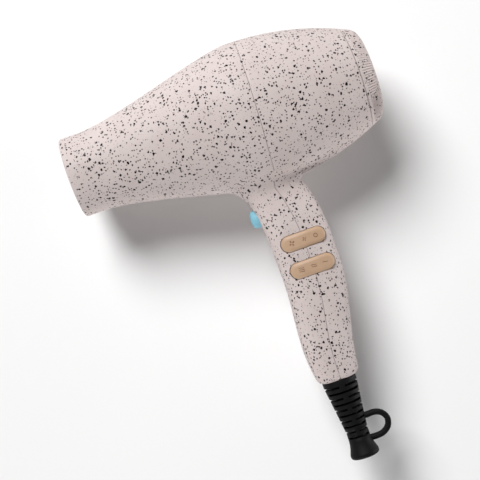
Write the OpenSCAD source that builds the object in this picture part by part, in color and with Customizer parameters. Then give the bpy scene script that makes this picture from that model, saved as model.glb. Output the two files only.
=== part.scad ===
/* [Barrel] */
// Outer radius of the straight nozzle
nozzle_r = 26; // [26:0.1:26.4]
// Length of the straight nozzle
nozzle_len = 12; // [11.5:0.1:12.5]
// Largest outer radius of the barrel
belly_r = 47.6; // [47.4:0.1:48]
// Distance from the nozzle's end to the largest radius
belly_x = 120; // [119.5:0.1:120.5]
// Radius of the long arc behind the belly
rear_arc_r = 180; // [179:0.5:182]
// Distance from the nozzle's end to the back of the filter cap
length = 201; // [200.8:0.1:201.5]
// Wall thickness of the barrel
wall = 2.4; // [2.2:0.1:2.5]

/* [Handle] */
// Distance from the barrel's axis to the handle's end
handle_end = 177.5; // [177.2:0.1:178]
// Half the widest width of the grip, front to back
grip_half_w = 19.8; // [19.6:0.1:20]
// Thickness of the handle's wall
handle_wall = 2.2; // [2.1:0.1:2.3]
// Where the middle of the grip lies along the barrel
grip_x = 124.2; // [124:0.1:124.4]

/* [Controls] */
// Length of a rocker
rocker_len = 29.1; // [28.8:0.1:29.2]
// Width of a rocker
rocker_w = 10.3; // [10:0.1:10.4]
// Distance from the barrel's axis to the speed rocker
rocker_y = 85.9; // [85.7:0.1:86.1]
// Distance between the two rockers
rocker_pitch = 17.6; // [17.4:0.1:17.8]
// Radius of the cool-shot button
button_r = 5.9; // [5.7:0.1:5.9]
// How far the cool-shot button travels
button_travel = 2.5; // [2:0.1:2.5]

/* [Strain relief] */
// Distance from the barrel's axis to the strain relief's end
relief_end = 230; // [229.5:0.1:230.5]
// Radius of the cord's hole
cord_r = 3.75; // [3.6:0.05:3.8]
// Radius of the hole in the hanging loop
loop_r = 5.9; // [5.7:0.1:6]

/* [Hidden] */
$fn = 64;

SHELL = [0.78, 0.73, 0.71];
BLACK = [0.09, 0.09, 0.10];
TAN = [0.72, 0.60, 0.50];
BLUE = [0.51, 0.75, 0.83];
STEEL = [0.72, 0.73, 0.75];
COPPER = [0.75, 0.45, 0.25];

// Joints between the shells
nozzle_bore_r = nozzle_r - wall;
cap_x = 190.5;
socket_x = 178;
socket_r = 30.8;
cap_spigot_r = 30.6;
seam_x = 123.3;
seam_lean = 0.045;
seam_offset = 0.8;
rim_r = 7;

// Cubic Bezier value of four numbers
function bezier(p, t) = pow(1 - t, 3) * p[0] + 3 * t * pow(1 - t, 2) * p[1]
    + 3 * t * t * (1 - t) * p[2] + pow(t, 3) * p[3];
function smooth(t) = let (u = min(1, max(0, t))) u * u * (3 - 2 * u);

// The barrel's outline from the nozzle to the belly, as [radius, x], moved inwards by inset
swell_steps = 14;
function swell(inset) = [for (i = [0 : swell_steps]) let (t = i / swell_steps) [
    bezier([nozzle_r, nozzle_r, belly_r, belly_r], t) - inset,
    bezier([nozzle_len, nozzle_len + 26, belly_x - 20, belly_x], t)]];
// The barrel's outer radius behind the belly
function rear_r(x) = belly_r - rear_arc_r + sqrt(pow(rear_arc_r, 2) - pow(x - belly_x, 2));
rear_steps = 10;
function rear(x_end, inset) = [for (i = [1 : rear_steps])
    let (x = belly_x + (x_end - belly_x) * i / rear_steps) [rear_r(x) - inset, x]];

// The handle's centre line and half-sizes at a distance d from the barrel's axis
neck_d = 100;
neck_sweep = 4.1;
neck_len = 44;
neck_start = 56;
tail_d = 105;
tail_sweep = 6.9;
tail_len = 62;
function handle_x(d) = grip_x - tail_sweep * smooth((d - tail_d) / tail_len)
    - neck_sweep * pow(max(0, neck_d - max(d, neck_start)) / neck_len, 3);
widest_d = 84;
taper = 5.2;
taper_len = 86;
function handle_half_w(d) = grip_half_w - taper * pow(abs(max(d, neck_start) - widest_d) / taper_len, 2.3);
function handle_half_d(d) = handle_half_w(d) * (0.86 + 0.08 * smooth((d - 100) / 77));
// The fillet into the barrel, which is wider along the barrel than across it, and the rounding at the end
flare_d = 57;
flare_r = 16;
flare_across = 0.45;
function flare(d) = d > flare_d ? 0
    : flare_r - sqrt(pow(flare_r, 2) - pow(min(flare_d - d, flare_r - 1), 2));
end_round = 4.5;
function end_inset(d) = d < handle_end - end_round ? 0
    : end_round - sqrt(max(0, pow(end_round, 2) - pow(d - handle_end + end_round, 2)));

// Half the handle's thickness seen at an angle about its length, of a section between a box and an oval
squareness = 2.6;
blend = squareness / (squareness - 1);
function half_across(d, angle, inset) = pow(
    pow(handle_half_w(d) * abs(cos(angle)), blend) + pow(handle_half_d(d) * abs(sin(angle)), blend), 1 / blend)
    + flare(d) * (flare_across + (1 - flare_across) * pow(cos(angle), 2)) - end_inset(d) - inset;
// The handle is what is left inside flat-sided slabs, each cut to its outline as seen at one angle
facet_angles = [0 : 22.5 : 157.5];
module handle_slab(ds, angle, inset) rotate([0, angle, 0]) linear_extrude(400, center = true)
    polygon(concat(
        [for (d = ds) [handle_x(d) * cos(angle) - half_across(d, angle, inset), -d]],
        [for (i = [len(ds) - 1 : -1 : 0])
            [handle_x(ds[i]) * cos(angle) + half_across(ds[i], angle, inset), -ds[i]]]));
module handle_form(ds, inset) intersection_for (a = facet_angles) handle_slab(ds, a, inset);

// Closed solid through a list of rings that all have the same number of points
module loft(rings) {
    n = len(rings[0]);
    m = len(rings);
    polyhedron(
        points = [for (r = rings) each r],
        faces = concat(
            [for (j = [0 : m - 2], i = [0 : n - 1]) each [
                [j * n + i, j * n + (i + 1) % n, (j + 1) * n + (i + 1) % n],
                [j * n + i, (j + 1) * n + (i + 1) % n, (j + 1) * n + i]]],
            [[for (i = [n - 1 : -1 : 0]) i]],
            [[for (i = [0 : n - 1]) (m - 1) * n + i]]));
}

// Body of revolution about the barrel's axis, from points [radius, x]
module turned(points) rotate([0, 90, 0]) rotate_extrude() polygon(points);
module along_x(x0, x1, r, y = 0, z = 0) translate([x0, y, z]) rotate([0, 90, 0]) cylinder(h = x1 - x0, r = r);
module tube_x(x0, x1, r_out, r_in) turned([[r_in, x0], [r_out, x0], [r_out, x1], [r_in, x1]]);
module block(low, high) translate(low) cube(high - low);
// Places children on the handle, at a distance d from the barrel's axis
module at_handle(d) translate([handle_x(d), -d, 0]) children();

// ---- shells ----

grip_ds = [for (d = [57 : 12 : 165]) d];
outer_ds = concat([34, 42, 45, 49], grip_ds, [for (e = [end_round, 3.2, 2, 1, 0.3, 0]) handle_end - e]);
inner_ds = concat([30], grip_ds, [handle_end - wall]);
// Distances of the two screws that close the handle, and the boss round each
screw_ds = [75.6, 140];
boss_r = 4.2;
thread_r = 1.5;
head_r = 2.9;
head_depth = 5;
clamp_d = 164;
clamp_post_z = 7.6;
clamp_x = 121.4;
button_d = 64;
relief_x = 117;
relief_neck_r = 7.6;
block_x = 112;
block_d = 152;

module outer_form() {
    turned(concat([[0, 0], [nozzle_r, 0]], swell(0), rear(cap_x, 0), [[0, cap_x]]));
    handle_form(outer_ds, 0);
}
module inner_form() {
    turned(concat([[0, -1], [nozzle_bore_r, -1]], swell(wall), rear(socket_x, wall),
        [[socket_r, socket_x], [socket_r, cap_x + 1], [0, cap_x + 1]]));
    handle_form(inner_ds, handle_wall);
}
// Everything in front of the seam, which leans on the barrel and follows the middle of the handle
module before_seam() linear_extrude(130, center = true) polygon(concat(
    [[-10, 60], [seam_x + seam_lean * 60, 60], [seam_x, 0]],
    [for (d = [56 : 10 : 186]) [handle_x(d) + seam_offset, -d]],
    [[-10, -186]]));
function wall_front(d) = handle_x(d) - handle_half_w(d) + handle_wall / 2;
function wall_back(d) = handle_x(d) + handle_half_w(d) - handle_wall / 2;
function head_seat(d) = handle_x(d) + handle_half_w(d) - head_depth;

module stadium(len, w) {
    square([len - w, w], center = true);
    for (s = [-1, 1]) translate([s * (len - w) / 2, 0]) circle(w / 2);
}
module rocker_openings() for (i = [0, 1])
    translate([grip_x + 0.6, -rocker_y - i * rocker_pitch, 6]) linear_extrude(20)
        stadium(rocker_len + 1.4, rocker_w + 0.8);
module relief_opening() translate([relief_x, -handle_end + 4, 0]) rotate([90, 0, 0])
    cylinder(h = 8, r = relief_neck_r);

module front_housing() color(SHELL) difference() {
    union() {
        difference() {
            intersection() {
                outer_form();
                before_seam();
            }
            inner_form();
        }
        for (d = screw_ds) along_x(wall_front(d), handle_x(d) + seam_offset - 0.6, boss_r, -d);
        for (z = [-1, 1]) along_x(wall_front(clamp_d), clamp_x, 2.2, -clamp_d, z * clamp_post_z);
        along_x(wall_front(block_d), block_x, 3, -block_d);
    }
    for (d = screw_ds) along_x(handle_x(d) - 9, 130, thread_r, -d);
    for (z = [-1, 1]) along_x(clamp_x - 6, 130, 1, -clamp_d, z * clamp_post_z);
    along_x(90, 110, button_r + 0.25, -button_d);
    rocker_openings();
    relief_opening();
}

module rear_housing() color(SHELL) difference() {
    union() {
        difference() {
            outer_form();
            before_seam();
            inner_form();
        }
        for (d = screw_ds) along_x(handle_x(d) + seam_offset + 0.6, wall_back(d), boss_r, -d);
    }
    for (d = screw_ds) {
        along_x(110, 150, thread_r + 0.1, -d);
        along_x(head_seat(d), 150, head_r + 0.2, -d);
    }
    rocker_openings();
    relief_opening();
}

module housing_screws() color(STEEL) for (d = screw_ds) difference() {
    union() {
        along_x(handle_x(d) - 8, head_seat(d), thread_r, -d);
        along_x(head_seat(d), head_seat(d) + 2.2, head_r, -d);
    }
    translate([head_seat(d) + 1.2, -d, 0]) for (a = [0, 90]) rotate([a, 0, 0])
        block([0, -1.8, -0.4], [2, 1.8, 0.4]);
}

// ---- rear intake ----

rim_start = 25;
rim_x = length - rim_r;
rim_c = rear_r(rim_x + rim_r * sin(rim_start)) - rim_r * cos(rim_start);
mesh_x = 194.5;
mesh_t = 0.6;
mesh_r = 28.9;
plate_t = 2.5;
// Bands of slots in the cap's back: inner radius, outer radius, number of slots
slot_bands = [[8, 13, 12], [14.6, 19.4, 20], [21, 25.4, 28]];
slot_w = 1.9;

module filter_cap() color(SHELL) difference() {
    turned(concat([[mesh_r, 180], [cap_spigot_r, 180], [cap_spigot_r, cap_x], [rear_r(cap_x), cap_x]],
        [for (x = [192.5 : 2 : 196.5]) [rear_r(x), x]],
        [for (a = [rim_start : 13 : 90]) [rim_c + rim_r * cos(a), rim_x + rim_r * sin(a)]],
        [[0, length], [0, length - plate_t], [25.6, length - plate_t], [27, length - 3.6],
        [27, mesh_x + mesh_t], [mesh_r, mesh_x + mesh_t]]));
    for (b = slot_bands, i = [0 : b[2] - 1]) rotate([360 * i / b[2], 0, 0])
        block([length - plate_t - 1, -slot_w / 2, b[0]], [length + 1, slot_w / 2, b[1]]);
}
module filter_mesh() color("dimgray") along_x(mesh_x, mesh_x + mesh_t, mesh_r);

guard_x = 175.5;
module intake_guard() color(BLACK)
    guard([guard_x, socket_x], 6, [for (r = [12.5, 20.5, 28.5, 33.7]) [r, r + 1.5]], 2, 34);

// ---- nozzle and heater ----

outlet_r = 21.5;
shield_x0 = 20;
shield_x1 = 98;
shield_r0 = 22.4;
shield_r1 = 37.6;
shield_t = 0.8;
module outlet_ring() color(BLACK) tube_x(2, shield_x0, nozzle_bore_r, outlet_r);
grille_x = [5, 8];
// Rings on a hub, with three slightly thinner bars across them that leave the hub's middle whole
bar_inset = 0.3;
module guard(x, hub_r, rings, bar_w, reach) {
    along_x(x[0], x[1], hub_r);
    for (r = rings) tube_x(x[0], x[1], r[1], r[0]);
    for (a = [0, 60, 120]) rotate([a, 0, 0]) difference() {
        block([x[0] + bar_inset, -bar_w / 2, -reach], [x[1] - bar_inset, bar_w / 2, reach]);
        along_x(x[0] - 1, x[1] + 1, hub_r - 0.4);
    }
}
module outlet_grille() color(BLACK)
    guard(grille_x, 2.6, [[6.6, 7.8], [13, 14.2], [20, outlet_r]], 1.2, 20.6);
module heat_shield() color("silver") turned([[shield_r0 - shield_t, shield_x0], [shield_r0, shield_x0],
    [shield_r1, shield_x1], [shield_r1 - shield_t, shield_x1]]);

mica_x0 = 22;
mica_x1 = 88;
mica_t = 0.5;
mica_mid = 55;
function mica_h(x) = 19 + 10 * (x - mica_x0) / (mica_x1 - mica_x0);
// Outline of one mica board, with tabs at its ends that reach the heat shield
module mica_outline() polygon([
    [mica_x0, -21.9], [26, -21.9], [26, -mica_h(26)], [85, -mica_h(85)], [85, -34.2], [mica_x1, -34.2],
    [mica_x1, 34.2], [85, 34.2], [85, mica_h(85)], [26, mica_h(26)], [26, 21.9], [mica_x0, 21.9]]);
module mica_board_upright() color("tan") difference() {
    linear_extrude(2 * mica_t, center = true) mica_outline();
    block([mica_x0 - 1, -mica_t, -2], [mica_mid, mica_t, 2]);
}
module mica_board_level() color("tan") difference() {
    rotate([90, 0, 0]) linear_extrude(2 * mica_t, center = true) mica_outline();
    block([mica_mid, -2, -mica_t], [mica_x1 + 1, 2, mica_t]);
}

// Swept tube with n sides along a list of points
function unit(v) = v / norm(v);
function tangent(p, i) = unit(p[min(i + 1, len(p) - 1)] - p[max(i - 1, 0)]);
module wire(p, r, n, up) loft([for (i = [0 : len(p) - 1]) let (
    t = tangent(p, i), u = unit(cross(t, up)), v = cross(u, t))
    [for (k = [0 : n - 1]) p[i] + r * (cos(360 * k / n) * u + sin(360 * k / n) * v)]]);
// Smooth curve through a list of points, with a few steps between each two
function curve_at(a, b, c, d, t) = 0.5 * (2 * b + (c - a) * t + (2 * a - 5 * b + 4 * c - d) * t * t
    + (3 * b - a - 3 * c + d) * t * t * t);
function through(p, steps) = concat([for (i = [0 : len(p) - 2], k = [0 : steps - 1])
    curve_at(p[max(i - 1, 0)], p[i], p[i + 1], p[min(i + 2, len(p) - 1)], k / steps)], [p[len(p) - 1]]);

coil_wire_r = 0.5;
module coil(x0, x1, turns) {
    steps = 16 * turns;
    wire([for (i = [0 : steps]) let (x = x0 + (x1 - x0) * i / steps, a = 360 * turns * i / steps)
        [x, (mica_h(x) + 0.65) * cos(a), (mica_h(x) + 0.65) * sin(a)]], coil_wire_r, 6, [1, 0, 0]);
}
module main_coil() color("lightgray") coil(30, 54, 9);
module booster_coil() color("lightgray") coil(60, 82, 7);
module thermostat() color(STEEL) {
    block([34, mica_t, 6], [46, 2, 12]);
    block([35, 2, 7], [45, 3.5, 11]);
}
module thermal_fuse() color("ivory") {
    along_x(35, 45, 1.5, mica_t + 1.5, -9);
    along_x(30, 50, 0.5, mica_t + 1.5, -9);
}

// ---- motor and fan ----

can_x0 = 96;
can_x1 = 134;
can_r = 18;
shaft_r = 1.5;
bearing_r = 4;
running_gap = 0.03;
magnet_r = 13.6;
brush_x = [97.8, 100.2];
brush_w = 1.4;
module motor_can() color(STEEL) difference() {
    along_x(can_x0, can_x1, can_r);
    along_x(can_x0 - 1, can_x1 - 1.6, can_r - 1.4);
    along_x(can_x0, can_x1 + 1, bearing_r);
}
module motor_magnets() color("dimgray") for (a = [20, 200]) rotate([a, 0, 0]) rotate([0, 90, 0])
    translate([0, 0, 103]) rotate_extrude(angle = 140) translate([magnet_r, 0]) square([3, 23]);
module motor_end_cap() color(BLACK) difference() {
    union() {
        along_x(92, can_x0, can_r);
        for (s = [0, 180]) rotate([s, 0, 0]) block([can_x0, 6, -2.8], [101, 12.5, 2.8]);
    }
    along_x(90, can_x0 + 1, bearing_r);
    for (s = [0, 180]) rotate([s, 0, 0]) block([brush_x[0], 5, -brush_w], [brush_x[1], 11, brush_w]);
}
module motor_bearings() color("goldenrod") {
    tube_x(92.5, can_x0, bearing_r, shaft_r + running_gap);
    tube_x(130.5, can_x1, bearing_r, shaft_r + running_gap);
}
module carbon_brushes() color("darkslategray") for (s = [0, 180]) rotate([s, 0, 0])
    block([brush_x[0], 4.25, -brush_w], [brush_x[1], 11, brush_w]);
arm_x = [104.5, 123.5];
arm_r = 12.8;
arm_slots = 5;
module armature() color(STEEL) difference() {
    tube_x(arm_x[0], arm_x[1], arm_r, shaft_r);
    for (i = [0 : arm_slots - 1]) rotate([360 * i / arm_slots, 0, 0])
        block([arm_x[0] - 1, -1.8, 6.5], [arm_x[1] + 1, 1.8, arm_r + 1]);
}
module armature_windings() color(COPPER) {
    tube_x(102, arm_x[0], 11, 5.5);
    tube_x(arm_x[1], 126, 11, 5.5);
    for (i = [0 : arm_slots - 1]) rotate([360 * i / arm_slots, 0, 0])
        block([arm_x[0], -1.8, 6.5], [arm_x[1], 1.8, 10.8]);
}
module commutator() color(COPPER) difference() {
    tube_x(97, 101.3, 4.2, shaft_r);
    for (i = [0 : arm_slots - 1]) rotate([360 * i / arm_slots, 0, 0])
        block([96, -0.2, 3.6], [100.5, 0.2, 5]);
}
module motor_shaft() color(STEEL) along_x(90, 163, shaft_r);

fan_r = 36.4;
duct_r = 37.2;
duct_x = [98, 166];
blades = 9;
blade_angle = 35;
module fan_impeller() color(BLACK) {
    turned([[shaft_r, 147], [14, 147], [14, 157], [12, 161], [8, 163], [shaft_r, 163.5]]);
    intersection() {
        for (i = [0 : blades - 1]) rotate([360 * i / blades, 0, 0]) translate([154, 0, 0])
            rotate([0, 0, blade_angle]) block([-8, -0.7, 12.5], [8, 0.7, 38]);
        tube_x(145, 163.5, fan_r, 12.6);
    }
}
vanes = 7;
duct_t = 1.6;
motor_collar_t = 1.8;
// Where the motor's and heater's leads pass through the duct's wall
lead_notch = [[127, -42, -5.5], [135, -34, 5.5]];
module fan_duct() color(BLACK) difference() {
    union() {
        tube_x(duct_x[0], duct_x[1], duct_r + duct_t, duct_r);
        tube_x(100, 130, can_r + motor_collar_t, can_r);
        for (i = [0 : vanes - 1]) rotate([180 + 360 * (i + 0.5) / vanes, 0, 0]) rotate([-90, 0, 0])
            translate([114, 0, 0]) rotate([0, 0, -18])
                block([-12, -0.8, can_r + motor_collar_t - 0.2], [12, 0.8, duct_r + 0.2]);
    }
    block(lead_notch[0], lead_notch[1]);
}
// Rubber rings between the duct and the barrel: first x, last x, outer radius
dampers = [[114, 120, 44.7], [140, 145, 43.3]];
module damper_rings() color("black") for (d = dampers) tube_x(d[0], d[1], d[2], duct_r + duct_t);

// ---- controls ----

pivot_z = 11;
rocker_top = 18.3;
rocker_bottom = 9;
crown_r = 60;
pin_r = 1;
board_top = -5;
board_t = 1.6;
control_x = grip_x + 0.6;
module at_rocker(i) translate([control_x, -rocker_y - i * rocker_pitch, 0]) children();
module rocker() color(TAN) difference() {
    intersection() {
        translate([0, 0, rocker_bottom]) linear_extrude(12) stadium(rocker_len, rocker_w);
        translate([0, 0, rocker_top - crown_r]) rotate([90, 0, 0]) cylinder(h = 20, r = crown_r, center = true);
    }
    translate([0, 0, pivot_z]) rotate([90, 0, 0]) cylinder(h = 20, r = pin_r + 0.05, center = true);
}
module speed_rocker() at_rocker(0) rocker();
module heat_rocker() at_rocker(1) rocker();
ear_y = [5.5, 7];
module rocker_pins() color(STEEL) for (i = [0, 1]) at_rocker(i) translate([0, 0, pivot_z])
    rotate([90, 0, 0]) cylinder(h = 2 * ear_y[1], r = pin_r, center = true);
module switch_module() color(BLACK) difference() {
    union() {
        block([-12, -4.7, board_top], [12, 4.7, 7]);
        block([-4, -ear_y[1], 3], [4, ear_y[1], 7]);
        for (s = [0, 180]) rotate([0, 0, s]) block([-3, ear_y[0], 6], [3, ear_y[1], 13]);
    }
    block([-3.5, -2.4, 4], [3.5, 2.4, 8]);
    translate([0, 0, pivot_z]) rotate([90, 0, 0]) cylinder(h = 20, r = pin_r, center = true);
}
module speed_switch() at_rocker(0) switch_module();
module heat_switch() at_rocker(1) switch_module();

flange_x = 107.2;
flange_r = 6.9;
stem_r = 2.5;
seat_x = 115;
module cool_shot_button() color(BLUE) translate([0, -button_d, 0]) turned([
    [0, 97.9], [2.4, 98], [4.2, 98.5], [5.4, 99.5], [button_r, 101], [button_r, flange_x], [flange_r, flange_x],
    [flange_r, flange_x + 1.4], [stem_r, flange_x + 1.4], [stem_r, 111.7], [0, 111.7]]);
module cool_shot_spring() color(STEEL) {
    turns = 3;
    steps = 16 * turns;
    x0 = flange_x + 1.4 + 0.45;
    x1 = seat_x - 0.45;
    wire([for (i = [0 : steps]) let (a = 360 * turns * i / steps)
        [x0 + (x1 - x0) * i / steps, 3.6 * cos(a) - button_d, 3.6 * sin(a)]], 0.35, 6, [1, 0, 0]);
}
module cool_shot_switch() color(BLACK) {
    block([seat_x, -70, board_top], [seat_x + 6, -58, 4.5]);
    along_x(seat_x - 0.7, seat_x + 1, 1.2, -button_d);
}

board_x = [113.2, 135.2];
board_d = [57, 128];
module circuit_board() color("darkgreen") block([board_x[0], -board_d[1], board_top - board_t],
    [board_x[1], -board_d[0], board_top]);
module rectifier_diodes() color(BLACK) for (i = [0 : 3]) {
    translate([115 + 3.6 * i, -118, board_top + 1.4]) rotate([90, 0, 0]) cylinder(h = 6, r = 1.4, center = true);
    translate([115 + 3.6 * i, -118, board_top + 1.4]) rotate([90, 0, 0]) cylinder(h = 12, r = 0.4, center = true);
}
module capacitor() color("gold") block([127.5, -126, board_top], [134, -112, 4]);
module terminal_block() color("ivory") difference() {
    block([block_x, -158, -5.5], [126, -147.5, 5.5]);
    for (z = [-2.7, 2.7]) translate([118, -146, z]) rotate([90, 0, 0]) cylinder(h = 14, r = 1.4);
}
module cord_clamp() color(BLACK) difference() {
    block([clamp_x, -clamp_d - 3.5, -10], [clamp_x + 3, -clamp_d + 3.5, 10]);
    for (z = [-1, 1]) along_x(clamp_x - 1, clamp_x + 4, 1.1, -clamp_d, z * clamp_post_z);
}
module clamp_screws() color(STEEL) for (z = [-1, 1]) {
    along_x(clamp_x - 5, clamp_x + 3, 1, -clamp_d, z * clamp_post_z);
    along_x(clamp_x + 3, clamp_x + 4.6, 2, -clamp_d, z * clamp_post_z);
}

lead_r = 0.8;
board_lead_z = board_top + lead_r;
module lead(points) wire(through(points, 3), lead_r, 8, [0, 0.3, 1]);
module mains_leads() color("saddlebrown") for (x = [115, 121])
    lead([[x, -147.5, -3], [x, -146.9, -3], [x, -146.3, -3], [x, -144, -5.5], [x, -140, -7.6],
        [x, -133, -7.6], [x, -124, -7.6]]);
module motor_leads() color("firebrick") for (s = [-1, 1])
    lead([[127.5 + 1.5 * s, -60, board_lead_z], [127.5 + 1.5 * s, -55, s < 0 ? -3.6 : -1.6],
        [129.5 + 0.5 * s, -47, 1.2 * s], [131, -39, 1.2 * s], [127, -31, 1.2 * s], [118, -28, 1.2 * s],
        [104, -26, 1.4 * s], [94, -23, 2 * s], [89.5, -19, 2.5 * s], [88.6, -14, 2.5 * s], [90.4, -11, 2.5 * s],
        [91.2, -11, 2.5 * s], [92, -11, 2.5 * s]]);
module heater_leads() color("white") for (s = [-1, 1])
    lead([[127.5 + 4.8 * s, -60, board_lead_z], [127.5 + 4.4 * s, -55, s < 0 ? -4.2 : 0],
        [129.5 + 1.5 * s, -47, 3.4 * s], [131, -39, 3.6 * s], [127, -31, 3.6 * s], [118, -28.5, 3.6 * s],
        [106, -27.5, 3.6 * s], [96, -26, 3.4 * s], [88, -24, 2 * s], [82, -22, 1.35 * s]]);

// ---- strain relief ----

relief_core_r = 5.4;
relief_flange = 2.4;
relief_len = relief_end - handle_end;
rows = 10;
first_row = 3.6;
row_pitch = 3.8;
slot_h = 1.4;
loop_x = 130.7;
loop_y = 212.5;
loop_w = 3.9;
loop_t = 2.5;
module down_y(d) translate([relief_x, -d, 0]) rotate([90, 0, 0]) children();
// Part of a turn cut into the relief's skin, from angle a to b about the cord, at a distance d
module relief_slot(d, a, b) down_y(d) rotate([0, 0, a]) rotate_extrude(angle = b - a)
    translate([relief_core_r, 0]) square([8, slot_h]);
module strain_relief() color(BLACK) difference() {
    union() {
        down_y(handle_end) rotate_extrude() polygon([[0, -wall - relief_flange], [9.3, -wall - relief_flange],
            [9.3, -wall], [relief_neck_r, -wall], [relief_neck_r, 0], [11, 0], [11, 3.2], [7.1, 35.2],
            [7.2, 40.2], [8.2, 46.2], [9.5, 49.7], [9.2, 51.5], [8, relief_len], [0, relief_len]]);
        translate([loop_x, -loop_y, 0]) rotate_extrude() polygon([[loop_r, -loop_t], [loop_r + loop_w - 1, -loop_t],
            [loop_r + loop_w, 1 - loop_t], [loop_r + loop_w, loop_t - 1], [loop_r + loop_w - 1, loop_t],
            [loop_r, loop_t]]);
    }
    down_y(160) cylinder(h = 90, r = cord_r);
    for (i = [0 : rows - 1], side = [0, 180]) let (d = handle_end + first_row + row_pitch * i) {
        if (i % 2 == 0) {
            relief_slot(d, side + 100, side + 150);
            relief_slot(d, side + 30, side + 80);
        } else {
            relief_slot(d, side + 45, side + 135);
        }
    }
}

front_housing();
rear_housing();
filter_cap();
filter_mesh();
intake_guard();
outlet_ring();
outlet_grille();
heat_shield();
mica_board_upright();
mica_board_level();
main_coil();
booster_coil();
thermostat();
thermal_fuse();
motor_can();
motor_magnets();
motor_end_cap();
motor_bearings();
carbon_brushes();
armature();
armature_windings();
commutator();
motor_shaft();
fan_impeller();
fan_duct();
damper_rings();
speed_rocker();
heat_rocker();
rocker_pins();
speed_switch();
heat_switch();
cool_shot_button();
cool_shot_spring();
cool_shot_switch();
circuit_board();
rectifier_diodes();
capacitor();
terminal_block();
mains_leads();
motor_leads();
heater_leads();
cord_clamp();
clamp_screws();
housing_screws();
strain_relief();
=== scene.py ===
import math

import bmesh
import bpy
import numpy as np
from mathutils import Matrix, Vector


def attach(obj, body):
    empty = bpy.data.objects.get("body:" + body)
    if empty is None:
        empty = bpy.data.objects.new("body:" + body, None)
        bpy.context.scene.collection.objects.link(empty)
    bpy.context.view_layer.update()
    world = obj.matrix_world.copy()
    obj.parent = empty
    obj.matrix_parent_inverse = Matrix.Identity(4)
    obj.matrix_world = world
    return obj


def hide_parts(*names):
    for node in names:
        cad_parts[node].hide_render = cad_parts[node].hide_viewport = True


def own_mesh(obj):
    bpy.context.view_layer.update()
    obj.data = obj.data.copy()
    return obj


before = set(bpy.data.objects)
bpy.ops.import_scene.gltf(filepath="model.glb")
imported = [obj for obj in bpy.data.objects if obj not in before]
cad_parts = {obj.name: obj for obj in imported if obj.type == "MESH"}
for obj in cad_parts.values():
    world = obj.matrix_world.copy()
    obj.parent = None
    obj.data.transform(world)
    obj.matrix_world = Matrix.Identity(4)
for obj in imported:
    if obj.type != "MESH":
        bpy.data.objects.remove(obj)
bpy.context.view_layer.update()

# Sizes are in millimetres, as in the CAD model. new_object() turns them into metres.
MM = 0.001
TAU = 2 * math.pi

# ---- driving sizes ----

NOZZLE_R = 26.0
NOZZLE_LEN = 12.0
BELLY_R = 47.6
BELLY_X = 120.0
REAR_ARC_R = 180.0
CAP_X = 190.5
LENGTH = 201.0
WALL = 2.4
SOCKET_X = 178.0
SOCKET_R = 30.8
SEAM_X = 123.3
SEAM_LEAN = 0.045
SEAM_OFFSET = 0.8

HANDLE_END = 177.5
END_ROUND = 4.5
GRIP_X = 124.2
GRIP_HALF_W = 19.8
HANDLE_WALL = 2.2
SQUARENESS = 2.6
NECK_D = 100.0
NECK_FLAT_D = 46.0
NECK_SWEEP = 4.1
NECK_LEN = 44.0
NECK_START = 56.0
TAIL_D = 105.0
TAIL_SWEEP = 6.9
TAIL_LEN = 62.0
WIDEST_D = 84.0
TAPER = 5.2
TAPER_LEN = 86.0
TAPER_POWER = 2.3
DEPTH_SHARE = 0.86             # the handle's size along Z over its size along X, high up
DEPTH_GAIN = 0.08              # what is added to that share towards the bottom

ROCKER_LEN = 29.1
ROCKER_W = 10.3
ROCKER_YS = (-85.9, -103.5)
ROCKER_X = GRIP_X + 0.6
ROCKER_TOP = 18.3
ROCKER_BOTTOM = 9.0
CROWN_R = 60.0
BUTTON_D = 64.0
BUTTON_R = 5.9
SCREW_DS = (75.6, 140.0)
SCREW_HEAD_DEPTH = 5.0
RECESS_R = 3.1
BOSS_R = 4.2
THREAD_R = 1.6
CUP_FLOOR = 2.5

RELIEF_X = 117.0
RELIEF_NECK_R = 7.6
CORD_R = 3.75
SEAM_EDGE = 0.28               # width of the rounded edges along the seam
SEAM_GAP = 0.16
FLOOR_Z = -BELLY_R


# ---- small helpers ----

def smooth(t):
    t = np.clip(t, 0.0, 1.0)
    return t * t * (3 - 2 * t)


def spow(v, p):
    return np.sign(v) * np.abs(v) ** p


def new_object(name, verts_mm, faces, material=None):
    """A mesh object from points in millimetres, with its place in its vertices."""
    mesh = bpy.data.meshes.new(name)
    points = [tuple(float(c) * MM for c in v) for v in verts_mm]
    mesh.from_pydata(points, [], [tuple(int(i) for i in f) for f in faces])
    mesh.validate()
    obj = bpy.data.objects.new(name, mesh)
    bpy.context.collection.objects.link(obj)
    if material:
        mesh.materials.append(material)
    return obj


def recalc(obj):
    bm = bmesh.new()
    bm.from_mesh(obj.data)
    bmesh.ops.recalc_face_normals(bm, faces=bm.faces)
    bm.to_mesh(obj.data)
    bm.free()


def soften(obj, degrees=35):
    """Smooth shading, with edges sharper than the angle left sharp."""
    obj.data.polygons.foreach_set("use_smooth", [True] * len(obj.data.polygons))
    obj.data.set_sharp_from_angle(angle=math.radians(degrees))


def bake_modifiers(obj):
    """Applies the object's modifiers to its mesh."""
    graph = bpy.context.evaluated_depsgraph_get()
    final = obj.evaluated_get(graph)
    mesh = bpy.data.meshes.new_from_object(final, preserve_all_data_layers=True, depsgraph=graph)
    old = obj.data
    obj.modifiers.clear()
    obj.data = mesh
    bpy.data.meshes.remove(old)


def cut(obj, cutter):
    """Takes the cutter's shape out of the object."""
    mod = obj.modifiers.new("cut", "BOOLEAN")
    mod.operation = "DIFFERENCE"
    mod.solver = "EXACT"
    mod.material_mode = "TRANSFER"
    mod.object = cutter
    bake_modifiers(obj)
    bpy.data.objects.remove(cutter)


def join(objs):
    """One object from several that share a material list or bring their own."""
    bpy.ops.object.select_all(action="DESELECT")
    for o in objs:
        o.select_set(True)
    bpy.context.view_layer.objects.active = objs[0]
    bpy.ops.object.join()
    return objs[0]


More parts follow.
